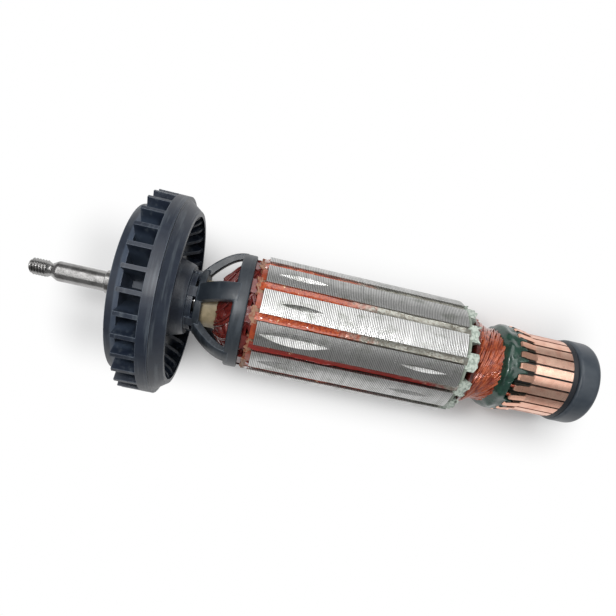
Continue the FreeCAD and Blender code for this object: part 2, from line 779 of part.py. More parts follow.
def make_bearing():
    """Sealed ball bearing; the balls and their retainer turn in it as one ring."""
    raceway = ball_circle("ball_diameter / 2 + ball_play")
    inner = new_body("bearing_inner_ring")
    bore = "rear_seat_diameter / 2"
    revolve(inner, "inner_ring_turned", [
        (bearing_start, f"{bore} + bearing_edge"),
        (bearing_start, "inner_ring_radius"),
        (bearing_end, "inner_ring_radius"),
        (bearing_end, f"{bore} + bearing_edge"),
        (f"{bearing_end} - bearing_edge", bore),
        (f"{bearing_start} + bearing_edge", bore),
    ])
    revolve(inner, "inner_raceway", raceway, cut=True)
    keep("bearing_inner_ring", inner)

    outer = new_body("bearing_outer_ring")
    revolve(outer, "outer_ring_turned", [
        (bearing_start, outer_ring_bore),
        (bearing_start, f"{bearing_radius} - bearing_edge"),
        (f"{bearing_start} + bearing_edge", bearing_radius),
        (f"{bearing_end} - bearing_edge", bearing_radius),
        (bearing_end, f"{bearing_radius} - bearing_edge"),
        (bearing_end, outer_ring_bore),
    ])
    revolve(outer, "outer_raceway", raceway, cut=True)
    keep("bearing_outer_ring", outer)

    balls = new_body("bearing_ball_row")
    revolve(balls, "ball_row", ball_circle("ball_diameter / 2"))
    keep("bearing_ball_row", balls)


def make_shields():
    for name, side in (("bearing_shield_front", "front"), ("bearing_shield_rear", "rear")):
        body = new_body(name)
        if side == "front":
            first = f"({bearing_start} + shield_inset)"
        else:
            first = f"({bearing_end} - shield_inset - shield_thickness)"
        revolve(body, f"{name}_disc", [
            (first, "inner_ring_radius + shield_clearance"),
            (first, outer_ring_bore),
            (f"{first} + shield_thickness", outer_ring_bore),
            (f"{first} + shield_thickness", "inner_ring_radius + shield_clearance"),
        ])
        keep(name, body)


def make_boot():
    """Rubber cup that carries the bearing in the motor's housing."""
    body = new_body("bearing_boot")
    lip = f"({bearing_radius} - boot_lip_overlap)"
    revolve(body, "boot_cup", [
        (bearing_start, bearing_radius),
        (bearing_start, f"{boot_radius} - boot_edge / 2"),
        (f"{bearing_start} + boot_edge", boot_radius),
        (f"{boot_end} - boot_edge", boot_radius),
        (boot_end, f"{boot_radius} - boot_edge"),
        (boot_end, lip),
        (bearing_end, lip),
        (bearing_end, bearing_radius),
    ])
    keep("bearing_boot", body)


def resting_pose():
    """Turn from the shaft's own frame to the pose on a bench: fan ring and boot both touch it."""
    reach = value(f"{boot_end} - boot_edge") - value(ring_end)
    drop = value(f"fan_tip_radius - {boot_radius}")
    tilt = math.atan2(drop, reach)
    height = value(ring_end) * math.sin(tilt) + value("fan_tip_radius") * math.cos(tilt)
    turn = FreeCAD.Rotation(Y_AXIS, math.degrees(tilt))
    return FreeCAD.Placement(FreeCAD.Vector(0, 0, height), turn)


make_shaft()
make_fan()
make_fan_cage()
make_sleeve()
make_core()
make_slot_liners()
make_slot_wedge_group()
make_front_winding()
make_rear_winding()
make_bars()
make_commutator_moulding()
make_resin()
make_spacer()
make_bearing()
make_shields()
make_boot()
document.recompute()

# Lay the armature down and put the origin on the bench, under the middle of its box.
lying = resting_pose()
for item, turn in nodes.values():
    item.Placement = lying.multiply(FreeCAD.Placement(FreeCAD.Vector(), about_shaft(turn)))
document.recompute()
box = FreeCAD.BoundBox()
for item, turn in nodes.values():
    box.add(item.Shape.optimalBoundingBox(False, False))
bench = FreeCAD.Placement(FreeCAD.Vector(-box.Center.x, -box.Center.y, 0), FreeCAD.Rotation())
for item, turn in nodes.values():
    item.Placement = bench.multiply(item.Placement)
document.recompute()

failed = [item.Name for item in document.Objects if {"Invalid", "Error"} & set(item.State)]
for name, (item, turn) in nodes.items():
    if item.Shape.isNull() or not item.Shape.isValid() or not item.Shape.Solids:
        failed.append(name)
if failed:
    raise RuntimeError(f"These objects failed: {sorted(set(failed))}")

os.makedirs("parts", exist_ok=True)
for name, (item, turn) in nodes.items():
    item.Shape.exportStep(f"parts/{name}.step")
print(f"{len(nodes)} parts written")
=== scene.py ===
import json
import math

import bmesh
import bpy
from mathutils import Matrix, Vector, noise


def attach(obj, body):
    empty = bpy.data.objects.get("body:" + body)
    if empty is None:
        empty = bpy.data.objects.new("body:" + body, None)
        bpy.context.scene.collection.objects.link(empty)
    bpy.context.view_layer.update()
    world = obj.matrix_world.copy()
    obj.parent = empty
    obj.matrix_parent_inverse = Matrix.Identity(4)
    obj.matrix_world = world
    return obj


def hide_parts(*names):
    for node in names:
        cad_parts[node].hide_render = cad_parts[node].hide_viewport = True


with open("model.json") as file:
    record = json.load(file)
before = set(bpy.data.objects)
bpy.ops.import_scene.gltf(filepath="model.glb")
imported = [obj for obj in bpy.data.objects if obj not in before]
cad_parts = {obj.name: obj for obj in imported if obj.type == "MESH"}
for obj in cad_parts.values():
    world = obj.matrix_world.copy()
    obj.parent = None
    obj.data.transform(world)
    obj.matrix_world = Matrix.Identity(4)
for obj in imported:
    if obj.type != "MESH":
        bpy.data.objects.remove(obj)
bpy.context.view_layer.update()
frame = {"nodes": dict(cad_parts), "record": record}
nodes = frame["nodes"]
mm = 0.001

# The shaft's own frame: x in millimetres from the thread's tip, angles in degrees from the top side.
mounts = {mount["name"]: mount for mount in frame["record"]["mounts"]}
shaftLine = {"threadMountFromTip": 2.85}
along = Vector(mounts["rear_boot_seat"]["axis"]).normalized()
across = Vector((0, 1, 0))
upward = along.cross(across).normalized()
tip = Vector(mounts["drive_thread"]["pos_m"]) - along * shaftLine["threadMountFromTip"] * mm
shaftFrame = Matrix.Translation(tip) @ Matrix((along, across, upward)).transposed().to_4x4()
toShaft = shaftFrame.inverted()


def reach(name):  # where a CAD node starts and ends along the shaft, and its smallest and largest radius
    points = [toShaft @ vertex.co / mm for vertex in nodes[name].data.vertices]
    radii = [math.hypot(point.y, point.z) for point in points]
    return min(p.x for p in points), max(p.x for p in points), min(radii), max(radii)


coreStart, coreEnd = reach("lamination_stack")[:2]
print("frame read: core from", round(coreStart, 2), "to", round(coreEnd, 2))


class Num:  # a socket that takes part in plain arithmetic
    def __init__(self, tree, socket):
        self.tree, self.socket = tree, socket

    def __add__(self, other):
        return calc(self.tree, "ADD", self, other)

    def __sub__(self, other):
        return calc(self.tree, "SUBTRACT", self, other)

    def __mul__(self, other):
        return calc(self.tree, "MULTIPLY", self, other)

    def __truediv__(self, other):
        return calc(self.tree, "DIVIDE", self, other)

    def __pow__(self, other):
        return calc(self.tree, "POWER", self, other)

    def __radd__(self, other):
        return calc(self.tree, "ADD", other, self)

    def __rsub__(self, other):
        return calc(self.tree, "SUBTRACT", other, self)

    def __rmul__(self, other):
        return calc(self.tree, "MULTIPLY", other, self)

    def do(self, operation, *others):
        return calc(self.tree, operation, self, *others)

    def rise(self, low, high):  # 0 below low, 1 above high, smooth between
        share = makeNode(self.tree, "ShaderNodeMapRange", {"interpolation_type": "SMOOTHSTEP"},
                         {"Value": self, "From Min": low, "From Max": high})
        return Num(self.tree, share.outputs["Result"])


def feed(tree, socket, item):
    item = item.socket if isinstance(item, Num) else item
    if isinstance(item, bpy.types.NodeSocket):
        tree.links.new(item, socket)
    else:
        socket.default_value = item


def makeNode(tree, kind, settings=None, sockets=None):
    node = tree.nodes.new(kind)
    for name, setting in (settings or {}).items():
        setattr(node, name, setting)
    for name, item in (sockets or {}).items():
        feed(tree, node.inputs[name], item)
    return node


def calc(tree, operation, *items):
    node = makeNode(tree, "ShaderNodeMath", {"operation": operation}, dict(enumerate(items)))
    return Num(tree, node.outputs[0])


finishBasics = {"coatRoughness": 0.08, "bevelSamples": 4, "edgeSeen": (0.995, 0.93)}


class Finish:  # one material, with its place on the shaft ready as numbers
    def __init__(self, name, colour, roughness, metallic=0.0, coat=0.0):
        self.material = bpy.data.materials.new(name)
        self.material.use_nodes = True
        self.tree = self.material.node_tree
        self.shader = self.tree.nodes["Principled BSDF"]
        self.set("Base Color", (*colour, 1))
        self.set("Roughness", roughness)
        self.set("Metallic", metallic)
        self.set("Coat Weight", coat)
        self.set("Coat Roughness", finishBasics["coatRoughness"])
        place = self.add("ShaderNodeTexCoord").outputs["Object"]
        fromTip = self.add("ShaderNodeVectorMath", {"operation": "SUBTRACT"}, {0: place, 1: tuple(tip)}).outputs[0]
        self.x, self.side, self.up = (self.dot(fromTip, axis / mm) for axis in (along, across, upward))
        self.around = calc(self.tree, "ARCTAN2", self.side * -1, self.up) * math.degrees(1)
        self.radius = (self.side ** 2 + self.up ** 2) ** 0.5

    def add(self, kind, settings=None, sockets=None):
        return makeNode(self.tree, kind, settings, sockets)

    def set(self, name, item):
        feed(self.tree, self.shader.inputs[name], item)

    def dot(self, first, second):
        second = second if isinstance(second, bpy.types.NodeSocket) else tuple(second)
        node = self.add("ShaderNodeVectorMath", {"operation": "DOT_PRODUCT"}, {0: first, 1: second})
        return Num(self.tree, node.outputs["Value"])

    def spread(self, x=1.0, side=1.0, up=1.0):  # the shaft's millimetres as a vector, stretched
        parts = {"X": self.x * x, "Y": self.side * side, "Z": self.up * up}
        return self.add("ShaderNodeCombineXYZ", None, parts).outputs[0]

    def turned(self, x, degrees, radius):  # x, angle and radius as a vector, stretched
        parts = {"X": self.x * x, "Y": self.around * degrees, "Z": self.radius * radius}
        return self.add("ShaderNodeCombineXYZ", None, parts).outputs[0]

    def noise(self, scale, detail, where=None):
        sockets = {"Vector": where or self.spread(), "Scale": scale, "Detail": detail}
        node = self.add("ShaderNodeTexNoise", {"noise_dimensions": "4D"}, sockets)
        return Num(self.tree, node.outputs["Fac"])

    def chance(self, number):  # one value from 0 to 1 for each whole number
        node = self.add("ShaderNodeTexWhiteNoise", {"noise_dimensions": "1D"}, {"W": number.do("FLOOR")})
        return Num(self.tree, node.outputs["Value"])

    def mix(self, share, first, second):
        items = [item if isinstance(item, bpy.types.NodeSocket) else (*item, 1) for item in (first, second)]
        node = self.add("ShaderNodeMix", {"data_type": "RGBA"}, {"Factor": share, 6: items[0], 7: items[1]})
        return node.outputs[2]

    def bump(self, height, distance, normal=None):
        sockets = {"Height": height, "Distance": distance * mm, "Strength": 1.0}
        if normal is not None:
            sockets["Normal"] = normal
        self.set("Normal", self.add("ShaderNodeBump", None, sockets).outputs["Normal"])

    def soften(self, radius):  # the normal with the edges of a part rounded
        settings = {"samples": finishBasics["bevelSamples"]}
        return self.add("ShaderNodeBevel", settings, {"Radius": radius * mm}).outputs["Normal"]

    def edge(self, radius):  # 1 along the sharp edges of a part, 0 away from them
        plain = self.add("ShaderNodeNewGeometry").outputs["Normal"]
        return self.dot(self.soften(radius), plain).rise(*finishBasics["edgeSeen"])


def dress(finish, slot, *names):
    for name in names:
        thing = nodes[name]
        if not thing.data.materials:
            thing.data.materials.append(finish.material)
        thing.material_slots[0].link = "OBJECT"
        thing.material_slots[0].material = finish.material


def several(prefix):
    return sorted(name for name in nodes if name.startswith(prefix))


# Shaft, bearing rings and bush
steelLook = {"bright": (0.36, 0.355, 0.35), "stained": (0.2, 0.195, 0.19), "roughness": 0.12, "softening": 0.12}


def makeGroundSteel():
    look = steelLook
    finish = Finish("groundSteel", (0.33, 0.325, 0.32), 0.26, metallic=1.0)
    scratches = finish.noise(1.0, 2, finish.turned(26, 0.06, 1))
    stains = finish.noise(0.35, 3)
    finish.set("Base Color", finish.mix(stains.rise(0.45, 0.7), look["bright"], look["stained"]))
    finish.set("Roughness", look["roughness"] + scratches * 0.12 + stains * 0.08)
    finish.bump(scratches, 0.012, normal=finish.soften(look["softening"]))
    return finish


# Plastics and rubber: painted light brightens the fan's blade openings inside a given radius; scuffs with painted
# sheen streak the surface, and painted highlights lighten the sharp edges
plasticLook = {"scuffAndSheen": (0.075, 0.09, 0.105), "paintedEdgeHighlight": (0.13, 0.16, 0.2), "paintedBladeLight": (0.05, 0.07, 0.105),
               "paintedLightRise": (1.6, 2.2), "paintedLightFall": (8.5, 7), "paintedLightDepth": 2.5}


def makePlastic(name, colour, lighter, roughness, softening, paintedLightWithin=0.0, wearAndHighlight=0.0):
    look = plasticLook
    finish = Finish(name, colour, roughness)
    grain = finish.noise(3.2, 4)
    flow = finish.noise(0.16, 2, finish.spread(1, 2, 2))
    tint = finish.mix(flow.rise(0.35, 0.7), colour, lighter)
    if wearAndHighlight:
        # streaks of scuffs and painted sheen along the rings
        streaks = finish.noise(1.0, 4, finish.turned(0.9, 0.035, 0.5))
        tint = finish.mix(streaks.rise(0.5, 0.68) * wearAndHighlight, tint, look["scuffAndSheen"])
        # painted highlight along the sharp edges
        tint = finish.mix(finish.edge(softening * 1.6) * wearAndHighlight, tint, look["paintedEdgeHighlight"])
    # painted light: the shaded blade openings are lightened inside the given radius
    if paintedLightWithin:
        fromFan = finish.x - reach("fan")[0]
        paintedBladeLight = fromFan.rise(*look["paintedLightRise"]) * fromFan.rise(*look["paintedLightFall"])
        inner = finish.radius.rise(paintedLightWithin, paintedLightWithin - look["paintedLightDepth"])
        tint = finish.mix(paintedBladeLight * inner * 0.6, tint, look["paintedBladeLight"])
    finish.set("Base Color", tint)
    finish.set("Roughness", roughness - 0.06 + flow * 0.16)
    finish.bump(grain, 0.02, normal=finish.soften(softening))
    return finish


# Core: the sheets as fine lines, smeared and spotted
laminationLook = {"pitch": 0.5, "line": 0.36, "bright": (0.62, 0.62, 0.61), "smeared": (0.42, 0.43, 0.4),
                  "spotted": (0.3, 0.31, 0.27), "gap": (0.04, 0.04, 0.04), "depth": 0.05}


def makeLaminationSteel():
    look = laminationLook
    finish = Finish("laminationSteel", (0.6, 0.6, 0.59), 0.3, metallic=1.0)
    phase = (finish.x / look["pitch"]).do("FRACT")
    line = (phase - 0.5).do("ABSOLUTE").rise(0.5 - look["line"], 0.5)
    each = finish.chance(finish.x / look["pitch"])
    smear = finish.noise(0.28, 4, finish.spread(0.6, 1.4, 1.4))
    spots = finish.noise(1.7, 4)
    tint = finish.mix(smear.rise(0.5, 0.72), look["bright"], look["smeared"])
    tint = finish.mix(spots.rise(0.58, 0.68) * smear.rise(0.45, 0.6) * 0.6, tint, look["spotted"])
    tint = finish.mix(line * (0.6 + each * 0.4), tint, look["gap"])
    finish.set("Base Color", tint)
    finish.set("Roughness", 0.22 + smear * 0.16 + each * 0.06)
    finish.bump(line * -1 + each * 0.4, look["depth"])
    return finish


# Slot varnish: red at the fan's end, pale further back, redder in the slots around one angle
varnishLook = {"red": (0.42, 0.072, 0.016), "deepRed": (0.24, 0.024, 0.009), "redSlots": (0.2, 0.012, 0.008),
               "pale": (0.34, 0.34, 0.3), "dirty": (0.22, 0.2, 0.16), "speck": (0.75, 0.45, 0.25),
               "redAngle": 48, "paleFrom": 20, "paleTo": 34}


def makeSlotVarnishFinish():
    look = varnishLook
    finish = Finish("slotVarnish", (0.45, 0.07, 0.015), 0.2, coat=0.7)
    wave = finish.noise(0.5, 3)
    fine = finish.noise(1.6, 4)
    redder = ((finish.around - look["redAngle"]) / 10).do("ABSOLUTE").rise(2.4, 1.2)
    share = (finish.x - coreStart + wave * 26 - 13 - redder * 30).rise(look["paleFrom"], look["paleTo"])
    red = finish.mix(fine.rise(0.45, 0.62), look["red"], look["deepRed"])
    red = finish.mix(redder, red, look["redSlots"])
    pale = finish.mix(fine.rise(0.4, 0.65), look["pale"], look["dirty"])
    red = finish.mix((fine * wave).rise(0.36, 0.42), red, look["speck"])
    finish.set("Base Color", finish.mix(share, red, pale))
    finish.set("Roughness", 0.14 + fine * 0.18)
    finish.set("Metallic", share * 0.45)
    finish.bump(finish.noise(1.4, 2), 0.15)
    return finish


# Slot papers: varnished red at the fan's end, pale green behind, and painted shade inside the slots
paperLook = {"front": (0.29, 0.16, 0.095), "frontRed": (0.2, 0.032, 0.012), "back": (0.56, 0.62, 0.55),
             "backDark": (0.3, 0.36, 0.31), "grime": (0.1, 0.11, 0.095), "inside": (0.03, 0.015, 0.012)}


def makePaper():
    look = paperLook
    finish = Finish("insulatingPaper", (0.5, 0.55, 0.48), 0.55, coat=0.05)
    fibre = finish.noise(1.1, 5, finish.spread(1.6, 1, 1))
    grime = finish.noise(0.55, 4)
    rear = finish.x.rise(coreStart + 10, coreStart + 20)
    # painted shade: the paper along the core's length, deep in the slot mouths, is darkened
    inside = finish.x.rise(coreStart - 0.5, coreStart + 0.1) * (1 - finish.x.rise(coreEnd - 0.1, coreEnd + 0.3))
    front = finish.mix(fibre.rise(0.45, 0.65), look["front"], look["frontRed"])
    back = finish.mix(fibre.rise(0.42, 0.62), look["back"], look["backDark"])
    back = finish.mix(grime.rise(0.6, 0.7), back, look["grime"])
    finish.set("Base Color", finish.mix(inside, finish.mix(rear, front, back), look["inside"]))
    finish.set("Roughness", 0.45 + fibre * 0.2)
    finish.bump(fibre + grime * 0.5, 0.12)
    return finish


# Commutator bars: each a little different, with painted shade in a wedge by the slits and on the sunk surfaces
# between the hooks
barShape = {"firstSlit": 2.15, "pitch": 15.0, "radius": 12.75, "hook": 5.4, "wedgeStart": 3.0, "wedgeLength": 5.0,
            "wedgeHalf": 2.6}
barLook = {"bright": (0.95, 0.62, 0.48), "dull": (0.8, 0.44, 0.33), "dark": (0.72, 0.36, 0.26),
           "hook": (0.86, 0.47, 0.33), "paintedGapShade": (0.022, 0.022, 0.016)}


def makeCopperBars():
    size, look = barShape, barLook
    finish = Finish("commutatorCopper", (0.9, 0.55, 0.42), 0.28, metallic=1.0)
    turning = finish.noise(1.0, 2, finish.turned(30, 0.05, 1))
    cloud = finish.noise(0.3, 3)
    fromFirst = finish.around - size["firstSlit"]
    tint = finish.mix(cloud.rise(0.4, 0.7), look["bright"], look["dull"])
    tint = finish.mix(finish.chance(fromFirst / size["pitch"]) * 0.45, tint, look["dark"])
    barStart = finish.x - reach("commutator_bar_01")[0]
    fromSlit = fromFirst.do("PINGPONG", size["pitch"] / 2)
    ragged = finish.noise(1.3, 3) * 1.2 - 0.6
    # painted shade: a dark wedge at each slit stands in for the wider slit mouths by the hooks
    wedge = (1 - (barStart - size["wedgeStart"]) / size["wedgeLength"]) * size["wedgeHalf"] + ragged
    paintedGapShade = (wedge - fromSlit).rise(-0.3, 0.3)
    # painted shade on the surfaces sunk below the bars between the hooks
    sunkShade = finish.radius.rise(size["radius"] + 0.3, size["radius"] + 0.1)
    paintedGapShade = (paintedGapShade + sunkShade * barStart.rise(size["hook"] + 0.5, size["hook"] - 0.7)).do("MINIMUM", 1.0)
    hook = barStart.rise(size["hook"] + 0.4, size["hook"] - 0.4)
    tint = finish.mix(hook * 0.6, tint, look["hook"])
    finish.set("Base Color", finish.mix(paintedGapShade, tint, look["paintedGapShade"]))
    finish.set("Metallic", 1 - paintedGapShade * 0.8)
    finish.set("Roughness", 0.2 + turning * 0.2 + paintedGapShade * 0.25)
    finish.bump(turning, 0.012)
    return finish


# Varnished copper, boards, resin and tube: one colour clouded with a darker one
def makeVarnished(name, colour, darker, roughness=0.25, metallic=0.0, coat=0.5):
    finish = Finish(name, colour, roughness, metallic=metallic, coat=coat)
    cloud = finish.noise(0.6, 4)
    finish.set("Base Color", finish.mix(cloud.rise(0.35, 0.7), colour, darker))
    finish.bump(finish.noise(0.8, 3), 0.1)
    return finish


groundSteel = makeGroundSteel()
# the fan gets painted light in its blade openings and painted sheen and edge highlights; the cage gets the sheen
# and edge highlights
fanPlastic = makePlastic("fanPlastic", (0.008, 0.013, 0.025), (0.013, 0.02, 0.034), 0.4, 0.2, paintedLightWithin=28.2,
                         wearAndHighlight=0.55)
cagePlastic = makePlastic("cagePlastic", (0.017, 0.023, 0.031), (0.026, 0.033, 0.041), 0.4, 0.25, wearAndHighlight=0.35)
laminationSteel = makeLaminationSteel()
slotVarnish = makeSlotVarnishFinish()
insulatingPaper = makePaper()
commutatorCopper = makeCopperBars()
frontCopper = makeVarnished("frontCopper", (0.16, 0.02, 0.015), (0.09, 0.01, 0.01))
rearCopper = makeVarnished("rearCopper", (0.12, 0.015, 0.01), (0.04, 0.006, 0.005), metallic=0.1)
rearWire = makeVarnished("rearWire", (0.5, 0.1, 0.026), (0.2, 0.022, 0.01), 0.18, metallic=0.25, coat=0.9)
frontBoard = makeVarnished("frontBoard", (0.32, 0.05, 0.012), (0.22, 0.03, 0.009))
rearBoard = makeVarnished("rearBoard", (0.3, 0.34, 0.28), (0.2, 0.24, 0.2), 0.6, coat=0.0)
greenResin = makeVarnished("greenResin", (0.012, 0.055, 0.036), (0.006, 0.028, 0.02), 0.26, coat=0.45)
creamTube = makeVarnished("creamTube", (0.44, 0.36, 0.23), (0.34, 0.28, 0.17), 0.5, coat=0.0)
moulding = makePlastic("mouldingCompound", (0.01, 0.01, 0.01), (0.016, 0.016, 0.016), 0.5, 0.1)
spacerPlastic = makePlastic("spacerPlastic", (0.007, 0.009, 0.014), (0.012, 0.015, 0.02), 0.5, 0.15)
bootRubber = makePlastic("bootRubber", (0.04, 0.052, 0.068), (0.06, 0.074, 0.09), 0.36, 0.3)

dress(groundSteel, "ground_steel", "shaft")
dress(groundSteel, "bush_steel", "commutator_bush")
dress(groundSteel, "bearing_steel", "bearing_inner_ring", "bearing_outer_ring", "bearing_ball_row")
dress(groundSteel, "shield_steel", "bearing_shield_front", "bearing_shield_rear")
dress(fanPlastic, "fan_plastic", "fan")
dress(cagePlastic, "cage_plastic", "fan_cage")
dress(creamTube, "cream_insulation", "shaft_insulation_tube")
dress(laminationSteel, "lamination_steel", "lamination_stack")
dress(frontBoard, "varnished_board", "end_insulator_front")
dress(rearBoard, "fibre_board", "end_insulator_rear")
dress(insulatingPaper, "insulating_paper", *several("slot_liner"))
dress(slotVarnish, "varnished_wedge", "slot_wedges")
dress(frontCopper, "varnished_copper", "coils_front")
dress(rearCopper, "copper_wire", "coils_rear", "lead_wires")
dress(commutatorCopper, "commutator_copper", *several("commutator_bar"))
dress(moulding, "moulding_compound", "commutator_moulding")
dress(greenResin, "green_resin", "resin_bead")
dress(spacerPlastic, "spacer_plastic", "insulating_spacer")
dress(bootRubber, "boot_rubber", "bearing_boot")
print("materials on the CAD nodes")


# Shapes about the shaft
def onShaft(x, degrees, radius):
    turn = math.radians(degrees)
    return shaftFrame @ Vector((x * mm, -math.sin(turn) * radius * mm, math.cos(turn) * radius * mm))


def rounded(corners, steps):  # a corner is x, radius and how far its round edge reaches
    rows = []
    for index, (x, radius, edge) in enumerate(corners):
        here = Vector((x, radius))
        if not edge:
            rows.append(here)
            continue
        before, after = (Vector(corners[(index + step) % len(corners)][:2]) for step in (-1, 1))
        first, last = (here + (other - here).normalized() * edge for other in (before, after))
        for step in range(steps + 1):
            share = step / steps
            rows.append(first * (1 - share) ** 2 + here * (2 * share * (1 - share)) + last * share ** 2)
    return rows


def divided(rows, longest):  # more rows, none further from the next than the longest step
    finer = [rows[0]]
    for row in rows[1:]:
        parts = max(1, math.ceil((Vector(row) - Vector(finer[-1])).length / longest))
        start = Vector(finer[-1])
        finer += [start.lerp(Vector(row), (part + 1) / parts) for part in range(parts)]
    return finer


def lathe(rows, steps, shape=None, closed=True):
    points, faces = [], []
    for x, radius in rows:
        for step in range(steps):
            place = (x, step * 360 / steps, radius)
            points.append(onShaft(*(shape(*place) if shape else place)))
    for band in range(len(rows) if closed else len(rows) - 1):
        low, high = band * steps, (band + 1) % len(rows) * steps
        for step in range(steps):
            after = (step + 1) % steps
            faces.append((low + step, low + after, high + after, high + step))
    return points, faces


def keepPiece(name, mesh, finish, body, replaced=(), sharp=40):
    shape = bmesh.new()
    shape.from_mesh(mesh)
    bmesh.ops.remove_doubles(shape, verts=shape.verts, dist=0.002 * mm)
    bmesh.ops.dissolve_degenerate(shape, edges=shape.edges, dist=0.001 * mm)
    bmesh.ops.recalc_face_normals(shape, faces=shape.faces)
    shape.to_mesh(mesh)
    shape.free()
    mesh.shade_smooth()
    mesh.set_sharp_from_angle(angle=math.radians(sharp))
    mesh.materials.clear()
    mesh.materials.append(finish.material)
    piece = bpy.data.objects.new(name, mesh)
    bpy.context.scene.collection.objects.link(piece)
    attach(piece, body)
    if replaced:
        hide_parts(*replaced)
    print(name, len(mesh.polygons), "faces")


def plainMesh(name, points, faces):
    mesh = bpy.data.meshes.new(name)
    mesh.from_pydata([tuple(point) for point in points], [], faces)
    mesh.update()
    return mesh


# Shaft: its own corners, with the thread's helix pressed into the first rows
shaftShape = {"major": 2.5, "depth": 0.45, "pitch": 0.8, "tip": 0.9, "faceEdge": 0.2, "threadEnd": 5.2,
              "runIn": 0.15, "runOut": 0.3, "fade": 0.5, "flank": 1.25, "relief": 1.7, "journalStart": 6.6,
              "noseEnd": 8.2, "nose": 2.1, "journal": 3.0, "seatStart": 22.0, "seat": 3.5, "shoulder": 0.2,
              "fanSeat": 4.0, "fanToCage": 2.5, "chamfer": 0.4, "centreHole": 1.25, "centreDepth": 2.2,
              "rowsPerTurn": 9, "steps": 60}


def makeShaft():
    size = shaftShape
    shaftEnd, core, rear = reach("shaft")[1], reach("shaft_insulation_tube")[2], reach("bearing_inner_ring")[2]
    fanStart, fanEnd = reach("fan")[0], reach("fan_cage")[0] - size["fanToCage"]
    bearingStart = reach("bearing_inner_ring")[0]
    corners = [
        (0, 0, 0), (0, size["major"] - size["tip"] - size["faceEdge"], 0.3), (size["tip"], size["major"], 0.4),
        (size["threadEnd"], size["major"], 0.1), (size["journalStart"] - 0.3, size["relief"], 0.25),
        (size["journalStart"], size["relief"] + 0.1, 0.05), (size["journalStart"], size["nose"], 0.1),
        (size["noseEnd"], size["journal"], 0.4), (size["seatStart"], size["journal"], 0.06),
        (size["seatStart"], size["seat"] - 0.15, 0.05), (size["seatStart"] + size["shoulder"], size["seat"], 0.08),
        (fanStart, size["seat"], 0), (fanStart, size["fanSeat"], 0), (fanEnd, size["fanSeat"], 0),
        (fanEnd, core, 0), (bearingStart, core, 0.05), (bearingStart, rear, 0.05),
        (shaftEnd - size["chamfer"], rear, 0.1), (shaftEnd, rear - size["chamfer"], 0.1),
        (shaftEnd, size["centreHole"], 0.05), (shaftEnd - size["centreDepth"], 0, 0)]
    rows = rounded(corners[:-1], 3) + [Vector(corners[-1][:2])]
    threadRows = [row for row in rows if row.x <= size["threadEnd"]]
    plainRows = [row for row in rows if row.x > size["threadEnd"]]
    rows = divided(threadRows, size["pitch"] / size["rowsPerTurn"]) + plainRows

    def threaded(x, degrees, radius):
        if radius <= 1:
            return x, degrees, radius
        share = (x / size["pitch"] - degrees / 360) % 1
        start = min(1, max(0, (x - size["runIn"]) / size["fade"]))
        end = min(1, max(0, (size["threadEnd"] + size["runOut"] - x) / size["fade"]))
        groove = size["depth"] * min(1, abs(2 * share - 1) * size["flank"]) * start * end
        return x, degrees, max(radius - groove, 0)

    mesh = plainMesh("threadedShaft", *lathe(rows, size["steps"], threaded, False))
    keepPiece("threadedShaft", mesh, groundSteel, "rotor", ["shaft"], 32)


# Boot and spacer: the solids again, with round edges
bootShape = {"frontEdge": 1.3, "rearEdge": 1.7, "lip": 0.15, "inner": 0.05, "steps": 96}


def makeBoot():
    size = bootShape
    start, end, low, high = reach("bearing_boot")
    ring = reach("bearing_outer_ring")
    corners = [(start, ring[3], 0), (start, high, size["frontEdge"]), (end, high, size["rearEdge"]),
               (end, low, size["lip"]), (ring[1], low, size["inner"]), (ring[1], ring[3], 0)]
    mesh = plainMesh("bearingBoot", *lathe(rounded(corners, 8), size["steps"]))
    keepPiece("bearingBoot", mesh, bootRubber, "boot_and_ring", ["bearing_boot"])


spacerShape = {"step": 0.35, "frontEdge": 0.2, "rearEdge": 0.35, "steps": 96}


def makeSpacer():
    size = spacerShape
    start, end, low, high = reach("insulating_spacer")
    corners = [(start, low, 0), (start, high - size["step"], size["frontEdge"]), (end, high, size["rearEdge"]),
               (end, low, 0)]
    mesh = plainMesh("spacerRing", *lathe(rounded(corners, 5), size["steps"]))
    keepPiece("spacerRing", mesh, spacerPlastic, "rotor", ["insulating_spacer"])


# Cage: a ring and a hub, and ribs that leave the hub steeply and reach the ring level
cageShape = {"ribs": 5, "firstRib": -14.0, "ribWidth": 5.4, "wall": 2.0, "ringLength": 4.0, "hubLength": 2.0,
             "hub": 10.0, "hubStep": 1, "ring": 17.3, "bow": 0.9, "lean": 1.1, "edge": 0.35, "bevel": 0.3,
             "hollow": -0.12, "inside": -0.2, "ribStart": 0.4, "ribIn": 1.2, "thick": 1.25, "taper": 0.3,
             "steps": 14}


